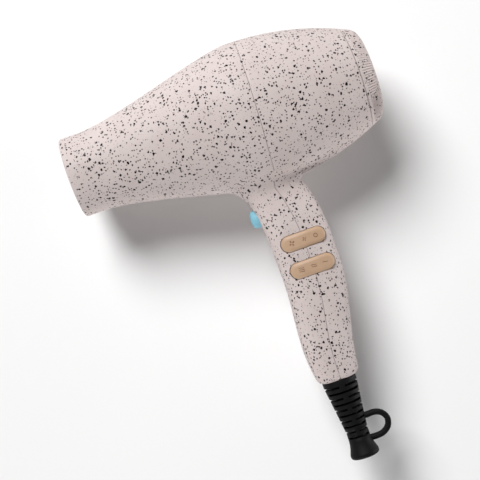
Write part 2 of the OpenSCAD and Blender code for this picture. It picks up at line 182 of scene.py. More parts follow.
def grid_faces(rows, cols, start=0, wrap=True):
    """Quads of a grid of points stored row by row; wrap joins the last column to the first."""
    last = cols if wrap else cols - 1
    return [(start + i * cols + j, start + i * cols + (j + 1) % cols,
             start + (i + 1) * cols + (j + 1) % cols, start + (i + 1) * cols + j)
            for i in range(rows - 1) for j in range(last)]


ORIGIN = (0.0, 0.0, 0.0)


def lathe(profile, steps, axis, centre, radial):
    """Points and faces of a body turned about X or Y. profile is (r, along).
    radial, if given, is a function of angle, r and along whose result is added to r."""
    pts = []
    for r, s in profile:
        for k in range(steps):
            a = TAU * k / steps
            rr = r if radial is None else r + radial(a, r, s)
            if axis == "x":
                pts.append((s + centre[0], centre[1] - rr * math.cos(a), centre[2] + rr * math.sin(a)))
            else:
                pts.append((centre[0] + rr * math.cos(a), s + centre[1], centre[2] + rr * math.sin(a)))
    return pts, grid_faces(len(profile), steps)


def lathe_object(name, profile, steps, material, axis="x", centre=ORIGIN, radial=None, closed=False):
    """A turned object. Radii of 0 are capped by the merge; closed joins the profile's end to its start."""
    if closed:
        profile = list(profile) + [profile[0]]
    pts, faces = lathe(profile, steps, axis, centre, radial)
    obj = new_object(name, pts, faces, material)
    bm = bmesh.new()
    bm.from_mesh(obj.data)
    bmesh.ops.remove_doubles(bm, verts=bm.verts, dist=1e-6)
    bmesh.ops.recalc_face_normals(bm, faces=bm.faces)
    bm.to_mesh(obj.data)
    bm.free()
    return obj


def arc(cx, cy, r, a0, a1, n):
    """Points (x, y) on an arc, angles in degrees."""
    angles = [math.radians(a0 + (a1 - a0) * i / n) for i in range(n + 1)]
    return [(cx + r * math.cos(a), cy + r * math.sin(a)) for a in angles]


def stadium(length, width, n=16, along=12):
    """Outline of a bar with round ends, anticlockwise from the right end's lowest point."""
    h = (length - width) / 2
    r = width / 2
    right = [(h + x, y) for x, y in arc(0, 0, r, -90, 90, n)]
    left = [(-h + x, y) for x, y in arc(0, 0, r, 90, 270, n)]
    straight = [h - 2 * h * i / along for i in range(1, along)]
    return right + [(x, r) for x in straight] + left + [(-x, -r) for x in straight]


def prism(name, outline, z0, z1, centre=(0.0, 0.0), material=None):
    """Upright solid over an outline, from z0 to z1."""
    n = len(outline)
    pts = [(x + centre[0], y + centre[1], z) for z in (z0, z1) for x, y in outline]
    faces = grid_faces(2, n) + [tuple(range(n))[::-1], tuple(range(n, 2 * n))]
    obj = new_object(name, pts, faces, material)
    recalc(obj)
    return obj


def rod_x(name, x0, x1, r, y, steps):
    """Solid cylinder along X."""
    turn = [TAU * k / steps for k in range(steps)]
    pts = [(x, y + r * math.cos(a), r * math.sin(a)) for x in (x0, x1) for a in turn]
    ends = [tuple(range(steps))[::-1], tuple(range(steps, 2 * steps))]
    obj = new_object(name, pts, grid_faces(2, steps) + ends)
    recalc(obj)
    return obj


# ---- materials ----

def shader(name):
    m = bpy.data.materials.new(name)
    m.use_nodes = True
    nt = m.node_tree
    return m, nt, nt.nodes["Principled BSDF"]


def srgb(r, g, b):
    """Linear colour from 8-bit sRGB numbers."""
    def lin(c):
        c /= 255.0
        return c / 12.92 if c <= 0.04045 else ((c + 0.055) / 1.055) ** 2.4
    return (lin(r), lin(g), lin(b), 1.0)


def node(nt, kind, **values):
    n = nt.nodes.new(kind)
    for key, value in values.items():
        setattr(n, key, value)
    return n


def link(nt, a, b):
    nt.links.new(a, b)


def object_coords(nt, scale):
    """Object coordinates in metres times a scale, so 1000 gives millimetres."""
    tc = node(nt, "ShaderNodeTexCoord")
    mul = node(nt, "ShaderNodeVectorMath", operation="SCALE")
    mul.inputs["Scale"].default_value = scale
    link(nt, tc.outputs["Object"], mul.inputs[0])
    return mul.outputs[0]


def noise(nt, coords, scale, detail=2.0, rough=0.5):
    n = node(nt, "ShaderNodeTexNoise")
    n.inputs["Scale"].default_value = scale
    n.inputs["Detail"].default_value = detail
    n.inputs["Roughness"].default_value = rough
    link(nt, coords, n.inputs["Vector"])
    return n


def ramp(nt, value, lo, hi, out_lo=0.0, out_hi=1.0):
    r = node(nt, "ShaderNodeMapRange")
    r.inputs["From Min"].default_value = lo
    r.inputs["From Max"].default_value = hi
    r.inputs["To Min"].default_value = out_lo
    r.inputs["To Max"].default_value = out_hi
    link(nt, value, r.inputs["Value"])
    return r.outputs["Result"]


def maths(nt, operation, a, b):
    """A Math node's output. a is a socket, b a socket or a number."""
    m = node(nt, "ShaderNodeMath", operation=operation)
    link(nt, a, m.inputs[0])
    if isinstance(b, float):
        m.inputs[1].default_value = b
    else:
        link(nt, b, m.inputs[1])
    return m.outputs[0]


def mix(nt, factor, a, b):
    """Colour mix. a and b are colours or sockets."""
    m = node(nt, "ShaderNodeMix", data_type="RGBA")
    link(nt, factor, m.inputs["Factor"])
    sockets = [s for s in m.inputs if s.type == "RGBA"]
    for value, socket in ((a, sockets[0]), (b, sockets[1])):
        if isinstance(value, tuple):
            socket.default_value = value
        else:
            link(nt, value, socket)
    return [s for s in m.outputs if s.type == "RGBA"][0]


def bump(nt, bsdf, height, strength, distance_mm):
    b = node(nt, "ShaderNodeBump")
    b.inputs["Strength"].default_value = strength
    b.inputs["Distance"].default_value = distance_mm * MM
    link(nt, height, b.inputs["Height"])
    link(nt, b.outputs["Normal"], bsdf.inputs["Normal"])


def flecks(nt, coords, pitch_mm, keep, r_lo, r_hi):
    """Mask of specks, one for each Voronoi cell, and a random tone for each of them.
    keep is the share of cells that have a speck, and the radii in mm are random from r_lo to r_hi."""
    v = node(nt, "ShaderNodeTexVoronoi", feature="F1", distance="EUCLIDEAN")
    v.inputs["Scale"].default_value = 1.0 / pitch_mm
    v.inputs["Randomness"].default_value = 1.0
    link(nt, coords, v.inputs["Vector"])
    sep = node(nt, "ShaderNodeSeparateColor")
    link(nt, v.outputs["Color"], sep.inputs["Color"])
    draw = sep.outputs["Red"]
    radius = ramp(nt, draw, 1.0 - keep, 1.0, r_lo / pitch_mm, r_hi / pitch_mm)
    inside = maths(nt, "SUBTRACT", radius, v.outputs["Distance"])
    kept = maths(nt, "GREATER_THAN", draw, 1.0 - keep)
    return maths(nt, "MULTIPLY", ramp(nt, inside, -0.012, 0.012), kept), sep.outputs["Green"]


def warped(nt, coords, scale, amount_mm):
    """Coordinates pushed about by noise, so that round specks come out ragged."""
    n = noise(nt, coords, scale, 1.5)
    centre = node(nt, "ShaderNodeVectorMath", operation="SUBTRACT")
    link(nt, n.outputs["Color"], centre.inputs[0])
    centre.inputs[1].default_value = (0.5, 0.5, 0.5)
    scaled = node(nt, "ShaderNodeVectorMath", operation="SCALE")
    scaled.inputs["Scale"].default_value = amount_mm * 2
    link(nt, centre.outputs[0], scaled.inputs[0])
    add = node(nt, "ShaderNodeVectorMath", operation="ADD")
    link(nt, coords, add.inputs[0])
    link(nt, scaled.outputs[0], add.inputs[1])
    return add.outputs[0]


DUST = (1.3, 0.6, 0.08, 0.3)            # pitch, share of cells, smallest and largest radius
TAN_FLECK = (2.3, 0.5, 0.15, 0.5)
CHIP = (2.4, 0.5, 0.32, 0.95)
GRIT = (1.5, 0.6, 0.12, 0.6)


def material_speckled_shell():
    """Matt pinkish-grey plastic with black chips and faint grey-brown dust."""
    m, nt, bsdf = shader("speckled_shell")
    mm = object_coords(nt, 1000.0)
    ragged = warped(nt, mm, 0.9, 0.75)
    fine_ragged = warped(nt, mm, 2.2, 0.3)
    cloud = noise(nt, mm, 0.05, 3.0)
    colour = mix(nt, ramp(nt, cloud.outputs["Fac"], 0.35, 0.65), SHELL_LIGHT, SHELL_DARK)
    for size, strength, tint in ((DUST, 0.55, srgb(140, 122, 117)), (TAN_FLECK, 0.6, srgb(160, 140, 133))):
        mask, _ = flecks(nt, fine_ragged, *size)
        colour = mix(nt, maths(nt, "MULTIPLY", mask, strength), colour, tint)
    for size, coords, lo, dark, light in ((GRIT, fine_ragged, 0.45, srgb(8, 7, 7), srgb(80, 66, 62)),
                                          (CHIP, ragged, 0.75, srgb(6, 5, 5), srgb(30, 24, 23))):
        mask, tone = flecks(nt, coords, *size)
        colour = mix(nt, mask, colour, mix(nt, ramp(nt, tone, lo, 1.0), dark, light))
    link(nt, colour, bsdf.inputs["Base Color"])
    grain = noise(nt, mm, 6.0, 3.0, 0.6)
    link(nt, ramp(nt, grain.outputs["Fac"], 0.3, 0.7, 0.5, 0.62), bsdf.inputs["Roughness"])
    bump(nt, bsdf, grain.outputs["Fac"], 0.12, 0.05)
    bsdf.inputs["Specular IOR Level"].default_value = 0.2
    return m


def material_plastic(name, light, dark, rough=0.45, grain_scale=5.0, grain_mm=0.04, specular=0.5):
    """Moulded plastic: slight mottling, fine texture in gloss and surface."""
    m, nt, bsdf = shader(name)
    mm = object_coords(nt, 1000.0)
    cloud = noise(nt, mm, 0.12, 4.0, 0.6)
    link(nt, mix(nt, ramp(nt, cloud.outputs["Fac"], 0.3, 0.7), light, dark), bsdf.inputs["Base Color"])
    grain = noise(nt, mm, grain_scale, 3.0, 0.6)
    link(nt, ramp(nt, grain.outputs["Fac"], 0.3, 0.7, rough - 0.06, rough + 0.08), bsdf.inputs["Roughness"])
    bump(nt, bsdf, grain.outputs["Fac"], 0.15, grain_mm)
    bsdf.inputs["Specular IOR Level"].default_value = specular
    return m


def material_metal(name, light, dark, rough=0.3, stretch=(1.0, 8.0, 8.0)):
    """Drawn or turned metal: fine streaks along one direction and patchy gloss."""
    m, nt, bsdf = shader(name)
    mm = object_coords(nt, 1000.0)
    squeeze = node(nt, "ShaderNodeVectorMath", operation="MULTIPLY")
    link(nt, mm, squeeze.inputs[0])
    squeeze.inputs[1].default_value = stretch
    streaks = noise(nt, squeeze.outputs[0], 0.5, 4.0, 0.65)
    link(nt, mix(nt, ramp(nt, streaks.outputs["Fac"], 0.3, 0.7), light, dark), bsdf.inputs["Base Color"])
    link(nt, ramp(nt, streaks.outputs["Fac"], 0.3, 0.7, rough - 0.08, rough + 0.12), bsdf.inputs["Roughness"])
    bump(nt, bsdf, streaks.outputs["Fac"], 0.1, 0.03)
    bsdf.inputs["Metallic"].default_value = 1.0
    return m


SHELL_LIGHT = srgb(205, 193, 190)
SHELL_DARK = srgb(201, 188, 185)


def grey(light, dark):
    """Two slightly bluish metal greys, as linear colours."""
    return (light, light + 0.01, light + 0.03, 1), (dark, dark + 0.01, dark + 0.03, 1)


def all_materials():
    plastic, metal = material_plastic, material_metal
    return {
        "shell": material_speckled_shell(),
        "tan": plastic("tan_plastic", srgb(190, 159, 131), srgb(183, 151, 123), 0.5),
        "icon": plastic("icon_ink", srgb(146, 102, 78), srgb(136, 94, 70), 0.5),
        "blue": plastic("blue_plastic", srgb(134, 190, 208), srgb(124, 181, 200), 0.55, specular=0.3),
        "rubber": plastic("black_rubber", srgb(13, 13, 14), srgb(8, 8, 9), 0.6, 3.0, 0.05, specular=0.16),
        "nylon": plastic("black_nylon", srgb(22, 22, 24), srgb(14, 14, 16), 0.5, specular=0.3),
        "mica": plastic("mica", srgb(196, 170, 128), srgb(170, 142, 100), 0.35, 1.2, 0.05),
        "wire": metal("heating_wire", (0.5, 0.5, 0.49, 1), (0.36, 0.35, 0.34, 1), 0.4),
        "steel": metal("steel", *grey(0.62, 0.5)),
        "mesh_steel": metal("mesh_steel", *grey(0.42, 0.3), 0.35, (4.0, 4.0, 4.0)),
        "magnet": plastic("magnet", srgb(60, 58, 58), srgb(44, 43, 43), 0.5, 2.0, 0.08),
        "bronze": metal("bronze", (0.55, 0.36, 0.16, 1), (0.42, 0.27, 0.12, 1), 0.35),
        "carbon": plastic("carbon", srgb(46, 46, 50), srgb(32, 32, 34), 0.4, 2.0, 0.05),
        "copper": metal("copper", (0.75, 0.37, 0.2, 1), (0.6, 0.27, 0.14, 1)),
        "board": plastic("circuit_board", srgb(38, 92, 60), srgb(28, 76, 48), 0.4, 1.5, 0.03),
        "ivory": plastic("ivory_plastic", srgb(226, 216, 190), srgb(216, 204, 176)),
        "gold": plastic("gold_film", srgb(198, 150, 60), srgb(180, 132, 46), 0.3, 2.0, 0.04),
        "red": plastic("red_insulation", srgb(176, 40, 34), srgb(156, 32, 28), 0.4),
        "white": plastic("white_insulation", srgb(226, 222, 212), srgb(212, 206, 194)),
        "brown": plastic("brown_insulation", srgb(110, 66, 40), srgb(94, 54, 32), 0.4),
    }


# ---- the housing's shape ----

def bezier(p, t):
    return (1 - t) ** 3 * p[0] + 3 * t * (1 - t) ** 2 * p[1] + 3 * t * t * (1 - t) * p[2] + t ** 3 * p[3]


SWELL_T = np.linspace(0, 1, 400)
SWELL_X = bezier((NOZZLE_LEN, NOZZLE_LEN + 26, BELLY_X - 20, BELLY_X), SWELL_T)
SWELL_R = bezier((NOZZLE_R, NOZZLE_R, BELLY_R, BELLY_R), SWELL_T)


def barrel_r(x):
    """Outer radius of the barrel at a place along it."""
    x = np.asarray(x, dtype=float)
    front = np.interp(x, SWELL_X, SWELL_R)
    behind = np.maximum(x, BELLY_X) - BELLY_X
    back = BELLY_R - REAR_ARC_R + np.sqrt(REAR_ARC_R ** 2 - behind ** 2)
    return np.where(x < NOZZLE_LEN, NOZZLE_R, np.where(x < BELLY_X, front, back))


def handle_x(d):
    neck = NECK_SWEEP * (np.maximum(0, NECK_D - np.maximum(d, NECK_FLAT_D)) / NECK_LEN) ** 3
    return GRIP_X - TAIL_SWEEP * smooth((d - TAIL_D) / TAIL_LEN) - neck


def handle_half_w(d):
    return GRIP_HALF_W - TAPER * (np.abs(np.maximum(d, NECK_START) - WIDEST_D) / TAPER_LEN) ** TAPER_POWER


def handle_half_d(d):
    return handle_half_w(d) * (DEPTH_SHARE + DEPTH_GAIN * smooth((d - 100) / 77))


COLS = 96                      # columns round the barrel
GAP_COLS = 22                  # of them, those that the handle's root takes the place of
HOLE_X = (78.0, 156.0)         # the stretch along the barrel that the handle's root covers
FRONT_STEPS = 17
REAR_STEPS = 13
FILLET = 6.2                   # how far the fillet between barrel and handle reaches, at its sides
FILLET_EXTRA = 2.1             # how much further it reaches in front, and less far behind
RINGS_OUT = 7                  # rings between the hole in the barrel's grid and the fillet
FILLET_STEPS = 9
GRIP_STEPS = 50
END_STEPS = 8
FACE_STEPS = 3
# Places of the rings along the barrel, in front of the hole and behind it
ZONE_A = np.append(np.linspace(0, NOZZLE_LEN, 6), np.linspace(NOZZLE_LEN, HOLE_X[0], 28)[1:])
ZONE_C = np.append(np.linspace(HOLE_X[1], SOCKET_X, 9), np.linspace(SOCKET_X, CAP_X, 6))
ZONE_C[9] += 0.05              # the socket's step


def root_angles():
    """Angles about the handle of the lines that run down it: from the +Z seam by the front to the -Z seam,
    and on by the back."""
    seam = math.degrees(math.acos((SEAM_OFFSET / (GRIP_HALF_W - 0.9)) ** (SQUARENESS / 2)))
    order = [seam, 135, 225, 360 - seam, 315, 405, 360 + seam]
    counts = [FRONT_STEPS, GAP_COLS, FRONT_STEPS, REAR_STEPS, GAP_COLS, REAR_STEPS]
    out = []
    for a, b, n in zip(order[:-1], order[1:], counts):
        out += list(np.linspace(a, b, n, endpoint=False))
    return np.radians(np.array(out))


THETA = root_angles()
K = len(THETA)
K_SEAM = 2 * FRONT_STEPS + GAP_COLS


def seam_on_barrel(phi, r):
    return SEAM_X - SEAM_LEAN * r * np.cos(phi)


def housing_points(inset):
    """Points of the whole housing's skin, moved inwards by inset, and how its grids are laid out."""
    phi_all = TAU * np.arange(COLS) / COLS
    half_gap = GAP_COLS // 2
    pts, parts = [], {}

    def ring(x, phi):
        r = barrel_r(x) - inset
        if inset:
            r = np.where(x > SOCKET_X + 0.01, SOCKET_R, r)
        return np.stack([x, -r * np.cos(phi), r * np.sin(phi)], axis=-1)

    def add(name, block):
        parts[name] = (sum(len(p) for p in pts), block.shape)
        pts.append(block.reshape(-1, 3))

    add("A", np.stack([ring(np.full(COLS, x), phi_all) for x in ZONE_A]))
    # columns beside the hole, from +41.25 degrees round the far side to -41.25
    cols = np.arange(half_gap, COLS - half_gap + 1)
    phi_b = TAU * cols / COLS
    seam_x = seam_on_barrel(phi_b, barrel_r(SEAM_X) - inset)
    rows = []
    for i in range(FRONT_STEPS + REAR_STEPS + 1):
        if i <= FRONT_STEPS:
            x = HOLE_X[0] + (seam_x - HOLE_X[0]) * i / FRONT_STEPS
        else:
            x = seam_x + (HOLE_X[1] - seam_x) * (i - FRONT_STEPS) / REAR_STEPS
        rows.append(ring(x, phi_b))
    add("B", np.stack(rows))
    add("C", np.stack([ring(np.full(COLS, x), phi_all) for x in ZONE_C]))

    # the hole's edge in (x, phi), in the order of THETA
    gap = TAU * half_gap / COLS
    xs = seam_on_barrel(gap, float(barrel_r(SEAM_X)) - inset)
    fr = HOLE_X[0] + (xs - HOLE_X[0]) * np.arange(FRONT_STEPS + 1) / FRONT_STEPS
    rr = xs + (HOLE_X[1] - xs) * np.arange(REAR_STEPS + 1) / REAR_STEPS
    turn = TAU * (half_gap - np.arange(GAP_COLS + 1)) / COLS
    edge = [(x, gap) for x in fr[:0:-1]]
    edge += [(HOLE_X[0], p) for p in turn[:-1]]
    edge += [(x, -gap) for x in fr[:-1]]
    edge += [(x, -gap) for x in rr[:-1]]
    edge += [(HOLE_X[1], p) for p in turn[:0:-1]]
    edge += [(x, gap) for x in rr[:0:-1]]
    edge = np.array(edge)

    # where the handle's wall would meet the barrel, one point for each line
    d = np.full(K, 45.0)
    p_exp = 2 / SQUARENESS
    for _ in range(30):
        a = handle_half_w(d) - inset
        b = handle_half_d(d) - inset
        x = handle_x(d) + a * spow(np.cos(THETA), p_exp)
        z = b * spow(np.sin(THETA), p_exp)
        d = np.sqrt((barrel_r(x) - inset) ** 2 - z ** 2)
    reach = FILLET - FILLET_EXTRA * np.cos(THETA) + inset
    r_root = barrel_r(x) - inset
    phi = np.arcsin(z / r_root)
    # outwards along the barrel's skin, square to the handle's outline
    away = np.stack([spow(np.cos(THETA), 2 - p_exp) / a, spow(np.sin(THETA), 2 - p_exp) / b], axis=-1)
    away /= np.linalg.norm(away, axis=1)[:, None]
    x3 = x + away[:, 0] * reach
    phi3 = phi + away[:, 1] * reach / r_root
    for k in (0, K_SEAM):
        x3[k] = seam_on_barrel(phi3[k], float(barrel_r(SEAM_X)) - inset)

    rings = []
    for i in range(1, RINGS_OUT + 1):
        t = i / RINGS_OUT
        xr = edge[:, 0] * (1 - t) + x3 * t
        pr = edge[:, 1] * (1 - t) + phi3 * t
        rings.append(ring(xr, pr))
    p3 = rings[-1]

    def wall(dd):
        aa = handle_half_w(dd) - inset
        bb = handle_half_d(dd) - inset
        across, up = aa * spow(np.cos(THETA), p_exp), bb * spow(np.sin(THETA), p_exp)
        return np.stack([handle_x(dd) + across, -dd, up], axis=-1)

    d0 = d + reach
    p0 = wall(d0)
    t0 = wall(d0 - 0.5) - p0
    t0 /= np.linalg.norm(t0, axis=1)[:, None]
    step = ring(x3 - away[:, 0] * 0.5, phi3 - away[:, 1] * 0.5 / r_root)
    t3 = step - p3
    t3 /= np.linalg.norm(t3, axis=1)[:, None]
    h = 0.58 * reach[:, None]
    for i in range(1, FILLET_STEPS + 1):
        t = i / FILLET_STEPS
        rings.append(bezier((p3, p3 + h * t3, p0 + h * t0, p0), t))
    end = HANDLE_END - END_ROUND
    for i in range(1, GRIP_STEPS + 1):
        rings.append(wall(d0 + (end - d0) * i / GRIP_STEPS))
    flat = HANDLE_END - (WALL if inset else 0.0)
    last = rings[-1]
    centre = handle_x(end)
    half = handle_half_w(end) - inset
    for i in range(1, END_STEPS + 1):
        g = math.pi / 2 * i / END_STEPS
        scale = 1 - (END_ROUND - inset) * (1 - math.cos(g)) / half
        level = np.full(K, -(end + (flat - end) * math.sin(g)))
        rings.append(np.stack([centre + (last[:, 0] - centre) * scale, level, last[:, 2] * scale], axis=-1))
    rim = rings[-1]
    angle = np.arctan2(rim[:, 2], rim[:, 0] - RELIEF_X)
    hole_x, hole_z = RELIEF_X + RELIEF_NECK_R * np.cos(angle), RELIEF_NECK_R * np.sin(angle)
    hole = np.stack([hole_x, rim[:, 1], hole_z], axis=-1)
    for i in range(1, FACE_STEPS + 1):
        t = i / FACE_STEPS
        rings.append(rim * (1 - t) + hole * t)
    add("H", np.stack(rings))
    return np.concatenate(pts), parts


def housing_faces(parts):
    """Quads of the skin, each with True where it belongs to the front shell."""
    half_gap = GAP_COLS // 2
    wide = COLS - GAP_COLS + 1
    a0, (na, _, _) = parts["A"]
    b0, (nb, _, _) = parts["B"]
    c0, (nc, _, _) = parts["C"]
    h0, (nh, _, _) = parts["H"]
    faces = []

    def a_index(i, j):
        return a0 + i * COLS + j % COLS

    def b_index(i, j):
        """Row i of the middle zone; columns outside the hole only, j from half_gap to COLS - half_gap."""
        if i == 0:
            return a_index(na - 1, j)
        if i == nb - 1:
            return c0 + j % COLS
        return b0 + i * wide + (j - half_gap)

    def c_index(i, j):
        return c0 + i * COLS + j % COLS

    def add_grid(index, rows, columns, is_front):
        for i in range(rows - 1):
            for j in columns:
                quad = (index(i, j), index(i, j + 1), index(i + 1, j + 1), index(i + 1, j))
                faces.append((quad, is_front(i)))

    add_grid(a_index, na, range(COLS), lambda i: True)
    add_grid(b_index, nb, range(half_gap, COLS - half_gap), lambda i: i < FRONT_STEPS)
    add_grid(c_index, nc, range(COLS), lambda i: False)

    # the hole's edge as indices, in the order of THETA
    plus, minus = half_gap, COLS - half_gap
    edge = [b_index(i, plus) for i in range(FRONT_STEPS, 0, -1)]
    edge += [a_index(na - 1, half_gap - j) for j in range(GAP_COLS)]
    edge += [b_index(i, minus) for i in range(0, nb - 1)]
    edge += [c_index(0, -half_gap + j) for j in range(GAP_COLS)]
    edge += [b_index(i, plus) for i in range(nb - 1, FRONT_STEPS, -1)]
    for k in range(K):
        q = (k + 1) % K
        front = k < K_SEAM
        faces.append(((edge[k], edge[q], h0 + q, h0 + k), front))
        for i in range(h0, h0 + (nh - 1) * K, K):
            faces.append(((i + k, i + q, i + K + q, i + K + k), front))
    return faces


def rim_edges(quads):
    """Edges that only one of the quads has, in that quad's own direction."""
    edges = [edge for f in quads for edge in zip(f, f[1:] + f[:1])]
    count = {}
    for edge in edges:
        key = tuple(sorted(edge))
        count[key] = count.get(key, 0) + 1
    return [edge for edge in edges if count[tuple(sorted(edge))] == 1]


def round_rims(obj, outer_rims, inner_rims, segments):
    """Rounds the nozzle's lip fully and the outer edges along the seams a little."""
    bm = bmesh.new()
    bm.from_mesh(obj.data)
    weight = bm.edges.layers.float.new("bevel_weight_edge")
    for e in bm.edges:
        key = tuple(sorted(v.index for v in e.verts))
        if key in outer_rims or key in inner_rims:
            at_nozzle = all(v.co.x < 0.5 * MM for v in e.verts)
            e[weight] = 1.0 if at_nozzle else (SEAM_EDGE if key in outer_rims else 0.0)
    bmesh.ops.recalc_face_normals(bm, faces=bm.faces)
    bm.to_mesh(obj.data)
    bm.free()
    mod = obj.modifiers.new("rims", "BEVEL")
    mod.limit_method = "WEIGHT"
    mod.width = 1.0 * MM
    mod.segments = segments
    bake_modifiers(obj)


def housing_shell(name, want_front, material):
    """One closed shell: outer skin, inner skin and the rims that join them."""
    outer, parts = housing_points(0.0)
    inner, _ = housing_points(HANDLE_WALL + 0.1)
    n = len(outer)
    quads = [f for f, front in housing_faces(parts) if front == want_front]
    rims = rim_edges(quads)
    faces = quads + [tuple(i + n for i in f[::-1]) for f in quads]
    faces += [(v, u, u + n, v + n) for u, v in rims]
    # the two shells stand a hair apart along the seam
    shift = -SEAM_GAP / 2 if want_front else SEAM_GAP / 2
    b0, (_, wide, _) = parts["B"]
    h0, (nh, _, _) = parts["H"]
    row = b0 + FRONT_STEPS * wide
    for block in (outer, inner):
        block[row:row + wide, 0] += shift
        for k in (0, K_SEAM):
            block[h0 + k:h0 + nh * K:K, 0] += shift
    points = np.concatenate([outer, inner])
    used = sorted({i for f in faces for i in f})
    where = {v: i for i, v in enumerate(used)}
    obj = new_object(name, points[used], [tuple(where[i] for i in f) for f in faces], material)
    outer_rims = {tuple(sorted((where[u], where[v]))) for u, v in rims}
    inner_rims = {tuple(sorted((where[u + n], where[v + n]))) for u, v in rims}
    round_rims(obj, outer_rims, inner_rims, 4 if want_front else 2)
    return obj


ROCKER_GAP = (0.9, 0.5)        # how much longer and wider than a rocker its opening is


def cut_rocker_openings(obj):
    outline = stadium(ROCKER_LEN + ROCKER_GAP[0], ROCKER_W + ROCKER_GAP[1], 20)
    for y in ROCKER_YS:
        cut(obj, prism("rocker_cutter", outline, 5.0, 26.0, (ROCKER_X, y)))


def front_housing(mats):
    obj = housing_shell("front_housing_shell", True, mats["shell"])
    cut_rocker_openings(obj)
    cut(obj, rod_x("button_cutter", 90, 110, BUTTON_R + 0.25, -BUTTON_D, 64))
    soften(obj)
    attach(obj, "housing")
    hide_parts("front_housing")


def head_seat(d):
    """Where the head of the screw at a distance d down the handle rests."""
    return float(handle_x(d) + handle_half_w(d)) - SCREW_HEAD_DEPTH


def rear_housing(mats):
    obj = housing_shell("rear_housing_shell", False, mats["shell"])
    cut_rocker_openings(obj)
    cups = []
    for d in SCREW_DS:
        cut(obj, rod_x("screw_cutter", head_seat(d) - 3, 150, RECESS_R, -d, 40))
        seat = head_seat(d)
        lip = seat + SCREW_HEAD_DEPTH - HANDLE_WALL + 0.3
        base = seat - CUP_FLOOR
        cup = [(RECESS_R, lip), (RECESS_R, seat), (THREAD_R, seat)]
        cup += [(THREAD_R, base), (BOSS_R, base), (BOSS_R, lip)]
        cups.append(lathe_object("screw_cup", cup, 40, mats["shell"], centre=(0, -d, 0), closed=True))
    obj = join([obj] + cups)
    soften(obj)
    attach(obj, "housing")
    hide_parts("rear_housing")


# ---- rear intake ----

RIM_R = 7.0
RIM_START = 25
RIM_X = LENGTH - RIM_R
RIM_TURN = math.radians(RIM_START)
RIM_C = float(barrel_r(RIM_X + RIM_R * math.sin(RIM_TURN))) - RIM_R * math.cos(RIM_TURN)
GROOVES = 124
GROOVE_DEPTH = 0.62
GROOVE_FROM = 192.4
GRILLE_R = 26.0
PLATE_T = 2.5
SPIGOT_X = 180.0               # front end of the spigot that goes into the housing
SPIGOT_R = 30.6
MESH_SEAT_R = 28.9
MESH_FRAME_R = 27.0
MESH_BACK = 195.1
CAP_GAP = 0.36                 # gap between the cap and the housing
CAP_EDGE = 0.65                # rounding of the cap's front edge
SLOT_BANDS = ((8.0, 13.0, 12), (14.6, 19.4, 20), (21.0, 25.4, 28))
SLOT_W = 1.9


def groove(angle, r, x):
    """How far a point of the cap's side is pulled in by the fine grooves."""
    if r < RIM_C:
        return 0.0
    on = float(smooth((x - GROOVE_FROM) / 0.5)) * float(smooth((LENGTH - 0.35 - x) / 1.2))
    wave = 0.5 - 0.5 * math.cos(angle * GROOVES)
    return -GROOVE_DEPTH * on * wave ** 1.6


def filter_cap(mats):
    """Grooved ring on a spigot, with the slotted plate in its end."""
    edge = CAP_X + CAP_GAP
    rounding = ((0.0, 1.0), (0.1, 0.5), (0.5, 0.1))              # along and down, as shares of CAP_EDGE
    side = [(float(barrel_r(edge + u * CAP_EDGE)) - v * CAP_EDGE, edge + u * CAP_EDGE) for u, v in rounding]
    places = [edge + CAP_EDGE, 191.9] + [GROOVE_FROM + u for u in (-0.2, 0.1, 0.5)] + [194.2, 195.4, 196.4]
    side += [(float(barrel_r(x)), x) for x in places]
    spigot = [(MESH_SEAT_R, SPIGOT_X + 0.3), (MESH_SEAT_R + 0.3, SPIGOT_X), (SPIGOT_R - 0.3, SPIGOT_X)]
    spigot += [(SPIGOT_R, SPIGOT_X + 0.3), (SPIGOT_R, edge)]
    back = LENGTH - PLATE_T
    inside = [(RIM_C, back), (MESH_FRAME_R, back - 1.1), (MESH_FRAME_R, MESH_BACK), (MESH_SEAT_R, MESH_BACK)]
    shape = spigot + side + arc(RIM_C, RIM_X, RIM_R, RIM_START, 90, 14) + inside
    cap = lathe_object("filter_cap_ring", shape, GROOVES * 6, mats["shell"], radial=groove, closed=True)
    soften(cap, 40)
    cap = join([cap, slotted_plate(mats)])
    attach(cap, "filter_cover")
    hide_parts("filter_cap")


